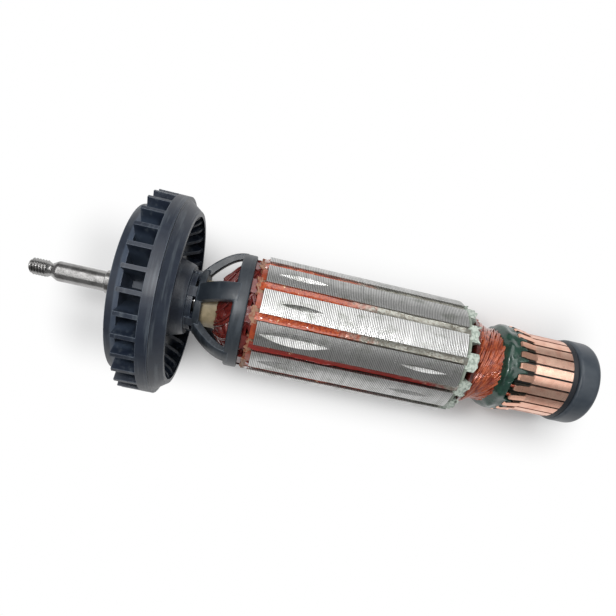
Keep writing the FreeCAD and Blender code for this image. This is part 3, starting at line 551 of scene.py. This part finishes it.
def makeCage():
    size = cageShape
    start, end, low = reach("fan_cage")[:3]
    ringStart = end - size["ringLength"]
    ring = [(ringStart, size["ring"] - size["wall"], 0.3), (ringStart, size["ring"], 0.7), (end, size["ring"], 0.5),
            (end, size["ring"] - size["wall"], 0.3)]
    tube, hubEnd = reach("shaft_insulation_tube")[3], start + size["hubLength"]
    hub = [(start, low, 0), (start, size["hub"], 0.45), (hubEnd, size["hub"] + 0.3, 0.3), (hubEnd, tube, 0.1),
           (start + size["hubStep"], tube, 0), (start + size["hubStep"], low, 0)]
    points, faces = lathe(rounded(ring, 4), 96)
    more, hubFaces = lathe(rounded(hub, 4), 72)
    faces += [tuple(corner + len(points) for corner in face) for face in hubFaces]
    points += more
    half, edge, bevel = size["ribWidth"] / 2, size["edge"], size["bevel"]
    outline = [(-half, 0, bevel), (-half + edge, 0, 0), (0, 0, size["hollow"]), (half - edge, 0, 0),
               (half, 0, bevel), (half, 1, size["inside"]), (half - edge, 1, 0), (-half + edge, 1, 0),
               (-half, 1, size["inside"])]
    count = len(outline)
    ribStart, ribEnd = start + size["ribStart"], ringStart + size["ribIn"]
    foot, top = size["hub"] - 0.2, size["ring"] - 0.05
    for rib in range(size["ribs"]):
        middle = size["firstRib"] + rib * 360 / size["ribs"]
        base = len(points)
        for step in range(size["steps"] + 1):
            share = step / size["steps"]
            x = ribStart + (ribEnd - ribStart) * share
            outer = foot + (top - foot) * math.sin(share * math.pi / 2) ** size["bow"]
            wall = size["wall"] * (size["thick"] - size["taper"] * share)
            lean = math.atan(math.cos(share * math.pi / 2) * size["lean"])
            inward = Vector((math.sin(lean), -math.cos(lean)))
            for width, deep, back in outline:
                place = Vector((x, outer)) + inward * (deep * wall + back)
                points.append(onShaft(place.x, middle + math.degrees(math.atan2(width, place.y)),
                                      math.hypot(width, place.y)))
        for step in range(size["steps"]):
            here, there = base + step * count, base + (step + 1) * count
            faces += [(here + n, here + (n + 1) % count, there + (n + 1) % count, there + n) for n in range(count)]
        faces += [tuple(base + n for n in reversed(range(count))),
                  tuple(base + size["steps"] * count + n for n in range(count))]
    mesh = plainMesh("fanCage", points, faces)
    keepPiece("fanCage", mesh, cagePlastic, "rotor", ["fan_cage"], 45)


# Resin: a turned bead that runs on in a finger over each bar, but for a bare stretch near the top
resinShape = {"fingers": 24, "firstFinger": 2.15, "fingerHalf": 3.2, "fingerLength": 3.4, "fingerLift": 0.2,
              "lumps": 0.5, "lumpScale": 0.45, "bareAt": 30, "bareHalf": 19, "bareLength": 2.8, "shoulder": 2.3,
              "swell": 0.1, "seat": 11.9, "seatDrop": 1.6, "fluid": 3.6, "rim": 1.6, "blend": 1.2,
              "longest": 0.6, "steps": 240}


def makeResin():
    size = resinShape
    start, end, low, high = reach("resin_bead")
    front, seat = reach("commutator_moulding")[0] - 0.05, size["seat"]
    corners = [(start, low, 0), (start, high - size["shoulder"], 0.9), (start + 1.5, high + size["swell"], 1.1),
               (end, high - 0.05, 0.5), (end, seat, 0), (front, seat - size["seatDrop"], 0), (front, low, 0)]
    rows = divided(rounded(corners, 5), size["longest"])

    def dripped(x, degrees, radius):
        if radius < high - size["fluid"]:
            return x, degrees, radius
        step, turn = 360 / size["fingers"], math.radians(degrees)
        off = abs((degrees - size["firstFinger"] + step / 2) % step - step / 2)
        finger = max(0, 1 - (off / size["fingerHalf"]) ** 4)
        lump = noise.noise(Vector((x * size["lumpScale"], math.cos(turn) * 4, math.sin(turn) * 4)))
        near = min(1, max(0, (x - end + size["blend"]) / size["blend"]))
        if radius > high - size["rim"]:
            own = finger * size["fingerLength"] * (0.75 + 0.25 * noise.noise(Vector((degrees * 0.11, 3, 5))))
            away = abs((degrees - size["bareAt"] + 180) % 360 - 180) / size["bareHalf"]
            bare = max(0, 1 - away ** 4)
            x += near * (own - bare * (size["bareLength"] + own))
        return x, degrees, radius + lump * size["lumps"] * (1 - near) + near * finger * size["fingerLift"]

    mesh = plainMesh("resinDrip", *lathe(rows, size["steps"], dripped))
    keepPiece("resinDrip", mesh, greenResin, "rotor", ["resin_bead"], 50)


# Wires that run round the shaft from one station to another, by Geometry Nodes
wireRules = {"bunched": 0.65, "slide": 0.8, "ripple": 1.6, "rippleTurn": 6, "rippleAcross": 3.7,
             "rippleAlong": 2.5, "sides": 7}


def makeWireTree():
    rules = wireRules
    tree = bpy.data.node_groups.new("woundWires", "GeometryNodeTree")
    face = tree.interface
    face.new_socket("Geometry", in_out="OUTPUT", socket_type="NodeSocketGeometry")
    face.new_socket("Geometry", in_out="INPUT", socket_type="NodeSocketGeometry")
    numbers = ("First X", "Last X", "First Radius", "Last Radius", "Waist", "Lean", "Turn", "Scatter",
               "Thickness", "Grouping")
    for name in numbers:
        face.new_socket(name, in_out="INPUT", socket_type="NodeSocketFloat")
    for name in ("Wires", "Points", "Seed"):
        face.new_socket(name, in_out="INPUT", socket_type="NodeSocketInt")
    face.new_socket("Finish", in_out="INPUT", socket_type="NodeSocketMaterial")
    given = makeNode(tree, "NodeGroupInput").outputs
    size = {name: Num(tree, given[name]) for name in numbers}
    line = makeNode(tree, "GeometryNodeCurvePrimitiveLine", None, {"End": (1, 0, 0)})
    points = makeNode(tree, "GeometryNodeResampleCurve", None,
                      {"Curve": line.outputs[0], "Count": given["Points"]})
    wires = makeNode(tree, "GeometryNodeDuplicateElements", {"domain": "SPLINE"},
                     {"Geometry": points.outputs[0], "Amount": given["Wires"]})
    number = Num(tree, wires.outputs["Duplicate Index"])
    share = Num(tree, makeNode(tree, "GeometryNodeSplineParameter").outputs["Factor"])

    def chance(low, high, seed):
        node = makeNode(tree, "FunctionNodeRandomValue", {"data_type": "FLOAT"})
        for index, item in ((2, low), (3, high), (7, number), (8, Num(tree, given["Seed"]) + seed)):
            feed(tree, node.inputs[index], item)
        return Num(tree, node.outputs[1])

    place = makeNode(tree, "ShaderNodeCombineXYZ", None,
                     {"X": number * rules["rippleAcross"], "Y": share * rules["rippleAlong"], "Z": 0.0})
    ripple = makeNode(tree, "ShaderNodeTexNoise", {"noise_dimensions": "3D"},
                      {"Vector": place.outputs[0], "Scale": 1.0, "Detail": 1.0})
    ripple = Num(tree, ripple.outputs["Fac"]) - 0.5
    x = size["First X"] + (size["Last X"] - size["First X"]) * share
    x = x + chance(-1.0, 1.0, 11) * size["Scatter"] * rules["slide"]
    curve = (share * math.pi).do("SINE")
    radius = size["First Radius"] + (size["Last Radius"] - size["First Radius"]) * share - size["Waist"] * curve
    radius = radius + chance(-0.5, 0.5, 23) * size["Scatter"] + ripple * size["Scatter"] * rules["ripple"]
    even = number / Num(tree, given["Wires"]) * 360
    grouped = (even / size["Grouping"]).do("ROUND") * size["Grouping"]
    turn = size["Turn"] + even * (1 - rules["bunched"]) + grouped * rules["bunched"] + size["Lean"] * share
    turn = turn + chance(-3.0, 3.0, 37) * size["Scatter"] + ripple * size["Scatter"] * rules["rippleTurn"]
    turn = turn * math.radians(1)
    spot = makeNode(tree, "ShaderNodeCombineXYZ", None,
                    {"X": x, "Y": turn.do("SINE") * radius * -1, "Z": turn.do("COSINE") * radius})
    bent = makeNode(tree, "GeometryNodeSetPosition", None,
                    {"Geometry": wires.outputs["Geometry"], "Position": spot.outputs[0]})
    ring = makeNode(tree, "GeometryNodeCurvePrimitiveCircle", {"mode": "RADIUS"},
                    {"Resolution": rules["sides"], "Radius": size["Thickness"] / 2})
    tube = makeNode(tree, "GeometryNodeCurveToMesh", None,
                    {"Curve": bent.outputs[0], "Profile Curve": ring.outputs[0], "Fill Caps": True})
    real = makeNode(tree, "GeometryNodeRealizeInstances", None, {0: tube.outputs[0]})
    dressed = makeNode(tree, "GeometryNodeSetMaterial", None,
                       {"Geometry": real.outputs[0], "Material": given["Finish"]})
    out = makeNode(tree, "NodeGroupOutput")
    tree.links.new(dressed.outputs[0], out.inputs["Geometry"])
    return tree


wireTree = makeWireTree()


def makeWires(name, layers, finish, replaced=()):
    meshes = []
    sockets = {item.name: item.identifier for item in wireTree.interface.items_tree if item.in_out == "INPUT"}
    for layer in layers:
        base = bpy.data.objects.new(name + "Seat", bpy.data.meshes.new(name + "Seat"))
        bpy.context.scene.collection.objects.link(base)
        modifier = base.modifiers.new("wires", "NODES")
        modifier.node_group = wireTree
        for key, item in {**layer, "Finish": finish.material}.items():
            modifier[sockets[key]] = item
        bpy.context.view_layer.update()
        seen = base.evaluated_get(bpy.context.evaluated_depsgraph_get())
        meshes.append(bpy.data.meshes.new_from_object(seen))
        base.modifiers.remove(modifier)
        bpy.data.objects.remove(base)
    joined = bmesh.new()
    for mesh in meshes:
        joined.from_mesh(mesh)
    together = bpy.data.meshes.new(name)
    joined.to_mesh(together)
    joined.free()
    together.transform(shaftFrame @ Matrix.Scale(mm, 4))
    keepPiece(name, together, finish, "rotor", replaced, 60)


rearStart, rearEnd = reach("coils_rear")[:2]
rearLayers = [
    {"First X": rearStart + 2.4, "Last X": rearEnd + 0.9, "First Radius": 14.0, "Last Radius": 11.3, "Waist": 1.0,
     "Lean": -118.0, "Turn": 0.0, "Scatter": 0.4, "Thickness": 0.55, "Grouping": 15.0, "Wires": 110, "Points": 30,
     "Seed": 3},
    {"First X": rearStart + 1.2, "Last X": rearEnd + 0.9, "First Radius": 14.7, "Last Radius": 11.7, "Waist": 1.4,
     "Lean": -84.0, "Turn": 8.0, "Scatter": 0.55, "Thickness": 0.5, "Grouping": 15.0, "Wires": 84, "Points": 26,
     "Seed": 8}]
frontStart, frontEnd = reach("coils_front")[0], coreStart - 1.6
frontLayers = [
    {"First X": frontStart + 0.5, "Last X": frontEnd, "First Radius": 8.3, "Last Radius": 15.1, "Waist": -1.6,
     "Lean": 80.0, "Turn": 0.0, "Scatter": 0.35, "Thickness": 0.9, "Grouping": 30.0, "Wires": 60, "Points": 20,
     "Seed": 5},
    {"First X": frontStart + 0.3, "Last X": frontEnd, "First Radius": 8.5, "Last Radius": 15.3, "Waist": -1.8,
     "Lean": -70.0, "Turn": 11.0, "Scatter": 0.35, "Thickness": 0.9, "Grouping": 30.0, "Wires": 36, "Points": 20,
     "Seed": 9}]
leadStart = reach("resin_bead")[1]
leadEnds = [
    {"First X": leadStart - 3.0, "Last X": leadStart + 2.0, "First Radius": 12.0, "Last Radius": 12.85,
     "Waist": 0.0, "Lean": 0.0, "Turn": -5.35, "Scatter": 0.0, "Thickness": 1.0, "Grouping": 15.0, "Wires": 24,
     "Points": 10, "Seed": 4}]

# Slot papers: a folded sleeve in each slot, with torn ends that flare a little
paperShape = {"slots": 12, "firstSlot": 4.44, "top": 16.5, "bottom": 9.45, "topHalf": 2.72, "bottomHalf": 0.82,
              "wall": 0.3, "front": 2.5, "rear": 4.3, "half": 0.55, "fray": 1.2, "frayMiddle": 0.35,
              "frayTorn": 0.9, "flare": 0.025, "twist": 0.04, "flaredAbove": 12, "limit": 17.1, "perSide": 6}


def makeSlotPaper():
    size = paperShape
    outline = []
    corners = [(size["top"], size["topHalf"]), (size["bottom"], size["bottomHalf"]),
               (size["bottom"], -size["bottomHalf"]), (size["top"], -size["topHalf"])]
    for index, corner in enumerate(corners):
        first, last = Vector(corner), Vector(corners[(index + 1) % 4])
        outline += [first.lerp(last, step / size["perSide"]) for step in range(size["perSide"])]
    stations = [(coreStart - size["front"], 1), (coreStart - size["front"] * size["half"], 0.6),
                (coreStart - 0.4, 0.1), (coreStart + 1, 0), (coreEnd - 1, 0), (coreEnd + 0.4, 0.1),
                (coreEnd + size["rear"] * size["half"], 0.6), (coreEnd + size["rear"], 1)]
    shape = bmesh.new()
    for slot in range(size["slots"]):
        middle = size["firstSlot"] + slot * 360 / size["slots"]
        rows = []
        for x, loose in stations:
            side = -1 if x < coreStart + 10 else 1
            row = []
            for step, (height, width) in enumerate(outline):
                torn = noise.noise(Vector((step * 0.9 + side * 7, slot * 3.1, 0.5)))
                torn += 0.6 * noise.noise(Vector((step * 2.3, slot * 5.7, side * 4.0)))
                outward = 1 + loose * size["flare"] * (1 + torn) if height > size["flaredAbove"] else 1
                radius = min(math.hypot(height, width) * outward, size["limit"])
                degrees = middle + math.degrees(math.atan2(width, height)) * (1 + size["twist"] * loose * torn)
                frayed = side * loose * size["fray"] * (size["frayMiddle"] - torn * size["frayTorn"])
                row.append(shape.verts.new(onShaft(x - frayed, degrees, radius)))
            rows.append(row)
        for low, high in zip(rows, rows[1:]):
            for step in range(len(outline)):
                after = (step + 1) % len(outline)
                shape.faces.new((low[step], low[after], high[after], high[step]))
    bmesh.ops.recalc_face_normals(shape, faces=shape.faces)
    bmesh.ops.solidify(shape, geom=shape.faces, thickness=size["wall"] * mm)
    mesh = bpy.data.meshes.new("slotPaper")
    shape.to_mesh(mesh)
    shape.free()
    keepPiece("slotPaper", mesh, insulatingPaper, "rotor", several("slot_liner"), 40)


# Slot varnish: a wavy strip that fills each slot's mouth and leaves a gap along one side
varnishShape = {"slots": 12, "firstSlot": 4.44, "top": 17.3, "under": 16.62, "limit": 17.75, "half": 1.16,
                "shares": (-1, -0.6, 0, 0.6, 1), "wave": 0.3, "sag": 0.22, "rough": 0.1, "step": 0.8, "before": 1.3,
                "beyond": 1.2, "taper": 1.5, "thinnest": 0.15, "gap": 0.16, "gapFar": 0.3, "gapWave": 0.25,
                "farFrom": 12, "farOver": 14}


def makeSlotVarnish():
    size = varnishShape
    first, last = coreStart - size["before"], coreEnd + size["beyond"]
    rowCount = round((last - first) / size["step"])
    count = len(size["shares"]) + 2
    points, faces = [], []
    for slot in range(size["slots"]):
        middle = size["firstSlot"] + slot * 360 / size["slots"]
        base = len(points)
        for row in range(rowCount + 1):
            x = first + (last - first) * row / rowCount
            level = noise.noise(Vector((x * 0.12, slot * 4.3, 1.0))) * 1.4
            level += noise.noise(Vector((x * 0.6, slot * 2.1, 7.0)))
            taper = min(1, max(size["thinnest"], min(x - first, last - x) / size["taper"]))
            far = min(1, max(0, (x - coreStart - size["farFrom"]) / size["farOver"]))
            opened = max(0, noise.noise(Vector((x * 0.2, slot * 1.7, 3.0))))
            gap = size["gap"] + size["gapFar"] * far + size["gapWave"] * opened
            ring = []
            for share in size["shares"]:
                width = size["half"] * share - (gap if share == 1 else 0)
                high = size["top"] + level * size["wave"] - size["sag"] * (1 - share ** 2)
                high += size["rough"] * noise.noise(Vector((x * 1.3, share * 2, slot)))
                ring.append((width, size["under"] + (min(high, size["limit"]) - size["under"]) * taper))
            ring += [(size["half"] * share, size["under"]) for share in (1, -1)]
            points += [onShaft(x, middle + math.degrees(math.atan2(width, height)), math.hypot(height, width))
                       for width, height in ring]
        for row in range(rowCount):
            here, there = base + row * count, base + (row + 1) * count
            faces += [(here + n, here + (n + 1) % count, there + (n + 1) % count, there + n) for n in range(count)]
        faces += [tuple(base + n for n in range(count)),
                  tuple(base + rowCount * count + n for n in reversed(range(count)))]
    mesh = plainMesh("slotVarnish", points, faces)
    keepPiece("slotVarnish", mesh, slotVarnish, "rotor", ["slot_wedges"], 60)


makeShaft()
makeCage()
makeBoot()
makeSpacer()
makeResin()
makeSlotPaper()
makeSlotVarnish()
makeWires("rearWires", rearLayers, rearWire, ["lead_wires"])
makeWires("leadEnds", leadEnds, rearWire)
makeWires("frontWires", frontLayers, frontCopper)

# Floor, world, lamps and camera. The floor is white but for the shadow near the part.
stageSizes = {"floor": 3.0, "drop": 0.0002, "grey": 0.82, "shadowShare": 0.9, "shadowReach": (0.082, 0.013),
              "shadowFade": 0.02, "worldStrength": 0.25}
floorMesh = bpy.data.meshes.new("floor")
half = stageSizes["floor"] / 2
floorMesh.from_pydata([(-half, -half, 0), (half, -half, 0), (half, half, 0), (-half, half, 0)], [], [(0, 1, 2, 3)])
floor = bpy.data.objects.new("floor", floorMesh)
bpy.context.scene.collection.objects.link(floor)
floor.location.z = -stageSizes["drop"]


def makeFloorPaper():
    material = bpy.data.materials.new("floorPaper")
    material.use_nodes = True
    tree = material.node_tree
    tree.nodes.clear()
    out = makeNode(tree, "ShaderNodeOutputMaterial")
    diffuse = makeNode(tree, "ShaderNodeBsdfDiffuse", None, {"Color": (*[stageSizes["grey"]] * 3, 1)})
    glow = makeNode(tree, "ShaderNodeEmission", None, {"Color": (1, 1, 1, 1), "Strength": 1.0})
    path = makeNode(tree, "ShaderNodeLightPath")
    seen = Num(tree, path.outputs["Is Camera Ray"]) + Num(tree, path.outputs["Is Glossy Ray"])
    seen = seen + Num(tree, path.outputs["Is Transmission Ray"])
    place = makeNode(tree, "ShaderNodeTexCoord").outputs["Object"]
    place = makeNode(tree, "ShaderNodeSeparateXYZ", None, {0: place}).outputs
    besides = [(Num(tree, place[axis]).do("ABSOLUTE") - limit).do("MAXIMUM", 0.0)
               for axis, limit in enumerate(stageSizes["shadowReach"])]
    away = (besides[0] ** 2 + besides[1] ** 2) ** 0.5
    kept = (1 - away.rise(0.0, stageSizes["shadowFade"])) * stageSizes["shadowShare"]
    share = seen.do("MINIMUM", 1.0) * (1 - kept)
    mixed = makeNode(tree, "ShaderNodeMixShader", None,
                     {"Fac": share, 1: diffuse.outputs[0], 2: glow.outputs[0]})
    tree.links.new(mixed.outputs[0], out.inputs["Surface"])
    return material


floorMesh.materials.append(makeFloorPaper())

world = bpy.data.worlds.new("studio")
bpy.context.scene.world = world
world.use_nodes = True
sky = world.node_tree.nodes["Background"].inputs
sky["Color"].default_value = (1, 1, 1, 1)
sky["Strength"].default_value = stageSizes["worldStrength"]


def addLamp(name, spot, target, size, power):
    data = bpy.data.lights.new(name, "AREA")
    data.shape = "RECTANGLE"
    data.size, data.size_y = size
    data.energy = power
    lamp = bpy.data.objects.new(name, data)
    bpy.context.scene.collection.objects.link(lamp)
    lamp.location = spot
    lamp.rotation_mode = "QUATERNION"
    lamp.rotation_quaternion = (Vector(target) - Vector(spot)).to_track_quat("-Z", "Y")


addLamp("softBox", (0.15, 0.58, 0.7), (0, 0, 0.02), (0.72, 0.62), 3.0)
addLamp("sideBox", (-0.36, 0.06, 0.62), (-0.06, 0, 0.02), (0.9, 0.2), 1.4)
addLamp("endBox", (0.47, 0.03, 0.62), (0.07, 0, 0.02), (0.5, 0.24), 0.65)
addLamp("endLamp", (0.38, 0.2, 0.62), (0.07, 0, 0.02), (0.16, 0.16), 0.3)
addLamp("nearLamp", (-0.03, 0.012, 0.178), (-0.01, 0, 0.02), (0.03, 0.03), 0.1)

# The camera stands as in the photograph: where the core's front face is, and how the shaft runs.
photo = {"width": 616, "focal": 488.9, "centreRow": 349.9, "slope": 11.98, "dip": 6.72,
         "coreFace": (-15.23, -10.87, 151.08)}


def placeCamera():
    slope, dip = math.radians(photo["slope"]), math.radians(photo["dip"])
    shaft = Vector((math.cos(dip) * math.cos(slope), math.cos(dip) * math.sin(slope), math.sin(dip)))
    depth = Vector((0, 0, 1))
    near = -(depth - shaft * shaft.dot(depth)).normalized()
    high = near.cross(shaft)
    seen = Matrix((shaft, high, near)).transposed().to_4x4()
    seen.translation = Vector(photo["coreFace"]) * mm
    coreFrame = shaftFrame @ Matrix.Translation((coreStart * mm, 0, 0))
    flip = Matrix.Diagonal((1, -1, -1, 1))
    data = bpy.data.cameras.new("camera")
    camera = bpy.data.objects.new("camera", data)
    bpy.context.scene.collection.objects.link(camera)
    camera.matrix_world = coreFrame @ seen.inverted() @ flip
    data.sensor_width = 36
    data.lens = photo["focal"] / photo["width"] * data.sensor_width
    data.shift_y = (photo["centreRow"] - photo["width"] / 2) / photo["width"]
    data.clip_start, data.clip_end = 0.01, 10
    bpy.context.scene.camera = camera


placeCamera()
bpy.context.scene.view_settings.view_transform = "Standard"
print("stage and camera placed")
